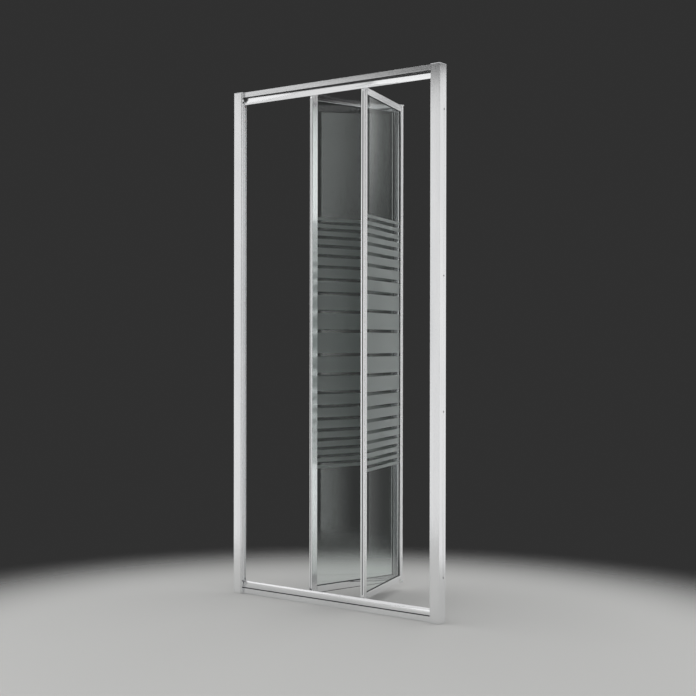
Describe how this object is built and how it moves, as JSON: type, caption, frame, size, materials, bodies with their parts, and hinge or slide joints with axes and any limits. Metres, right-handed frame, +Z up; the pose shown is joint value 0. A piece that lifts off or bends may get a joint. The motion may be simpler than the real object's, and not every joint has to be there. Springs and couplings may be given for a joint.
{
  "type": "bifold shower door",
  "caption": "Framed bifold shower door: striped glass leaves hinged together fold inwards between top and bottom track rails.",
  "frame": {"origin": "on the underside of the bottom rail, at mid-width, under the track's centre line", "axes": "+X to the right as seen from outside the shower, +Y into the shower, +Z up"},
  "size_m": [0.9, 0.4163, 1.85],
  "materials": {
    "bright_aluminium": "polished",
    "steel": "satin",
    "white_nylon": "satin",
    "grey_plastic": "satin",
    "pale_seal": "matte",
    "dark_gasket": "matte",
    "glass": "clear with frosted stripes"
  },
  "bodies": {
    "frame": {"wall_profile_left": "bright_aluminium", "wall_profile_right": "bright_aluminium", "post_left": "bright_aluminium", "post_right": "bright_aluminium", "post_caps": "grey_plastic", "top_rail": "bright_aluminium", "bottom_rail": "bright_aluminium", "rail_inlays": "dark_gasket", "rail_screws": "steel", "clamp_screws": "steel", "jamb_seal_left": "pale_seal", "jamb_seal_right": "pale_seal"},
    "carriage_b": {"carriage_b_block": "white_nylon", "carriage_b_pin": "steel", "carriage_b_clip": "steel", "shoe_b": "white_nylon", "shoe_b_pin": "steel"},
    "wheelset_b_inner": {"wheels_b_inner": "white_nylon", "axle_b_inner": "steel"},
    "wheelset_b_outer": {"wheels_b_outer": "white_nylon", "axle_b_outer": "steel"},
    "carriage_a": {"carriage_a_block": "white_nylon", "carriage_a_pin": "steel", "carriage_a_clip": "steel", "shoe_a": "white_nylon", "shoe_a_pin": "steel"},
    "wheelset_a_inner": {"wheels_a_inner": "white_nylon", "axle_a_inner": "steel"},
    "wheelset_a_outer": {"wheels_a_outer": "white_nylon", "axle_a_outer": "steel"},
    "leaf_b": {"leaf_b_end_stile": "bright_aluminium", "leaf_b_fold_stile": "bright_aluminium", "leaf_b_top_rail": "bright_aluminium", "leaf_b_bottom_rail": "bright_aluminium", "leaf_b_glass": "glass", "leaf_b_gasket": "dark_gasket", "leaf_b_end_seal": "dark_gasket", "leaf_b_sweep": "dark_gasket", "leaf_b_bushes": "white_nylon", "leaf_b_fold_caps": "white_nylon", "leaf_b_corner_keys": "steel", "leaf_b_corner_screws": "steel", "fold_hinge_b": "bright_aluminium", "fold_pin": "steel", "fold_covers": "grey_plastic", "fold_cover_screws": "steel"},
    "leaf_a": {"leaf_a_end_stile": "bright_aluminium", "leaf_a_fold_stile": "bright_aluminium", "leaf_a_top_rail": "bright_aluminium", "leaf_a_bottom_rail": "bright_aluminium", "leaf_a_glass": "glass", "leaf_a_gasket": "dark_gasket", "leaf_a_end_seal": "dark_gasket", "leaf_a_sweep": "dark_gasket", "leaf_a_bushes": "white_nylon", "leaf_a_fold_caps": "white_nylon", "leaf_a_corner_keys": "steel", "leaf_a_corner_screws": "steel", "fold_hinge_a": "bright_aluminium", "fold_seal": "pale_seal"}
  },
  "joints": [
    {"name": "door_slide", "type": "slide", "parent": "frame", "child": "carriage_b", "axis": [1, 0, 0], "range_m": [-0.0475, 0.274]},
    {"name": "leaf_b_turn", "type": "hinge", "parent": "carriage_b", "child": "leaf_b", "pos_m": [0.124, 0, 0.925], "axis": [0, 0, 1], "range_deg": [-13.1, 75.1]},
    {"name": "fold_hinge", "type": "hinge", "parent": "leaf_b", "child": "leaf_a", "pos_m": [0.01317, 0.38234, 0.925], "axis": [0, 0, 1], "range_deg": [-150.2, 26.2]},
    {"name": "leaf_a_turn", "type": "hinge", "parent": "leaf_a", "child": "carriage_a", "pos_m": [-0.09767, 0, 0.925], "axis": [0, 0, 1], "range_deg": [-13.1, 75.1]},
    {"name": "wheel_b_inner_spin", "type": "hinge", "parent": "carriage_b", "child": "wheelset_b_inner", "pos_m": [0.1174, 0, 1.8245], "axis": [0, 1, 0], "continuous": true},
    {"name": "wheel_b_outer_spin", "type": "hinge", "parent": "carriage_b", "child": "wheelset_b_outer", "pos_m": [0.1306, 0, 1.8245], "axis": [0, 1, 0], "continuous": true},
    {"name": "wheel_a_inner_spin", "type": "hinge", "parent": "carriage_a", "child": "wheelset_a_inner", "pos_m": [-0.09107, 0, 1.8245], "axis": [0, 1, 0], "continuous": true},
    {"name": "wheel_a_outer_spin", "type": "hinge", "parent": "carriage_a", "child": "wheelset_a_outer", "pos_m": [-0.10427, 0, 1.8245], "axis": [0, 1, 0], "continuous": true}
  ],
  "couplings": [
    {"joint": "leaf_b_turn", "follows": "door_slide", "rad_per_m": 4.7774},
    {"joint": "fold_hinge", "follows": "door_slide", "rad_per_m": -9.5547},
    {"joint": "leaf_a_turn", "follows": "door_slide", "rad_per_m": 4.7774},
    {"joint": "wheel_b_inner_spin", "follows": "door_slide", "rad_per_m": 161.29},
    {"joint": "wheel_b_outer_spin", "follows": "door_slide", "rad_per_m": 161.29}
  ]
}
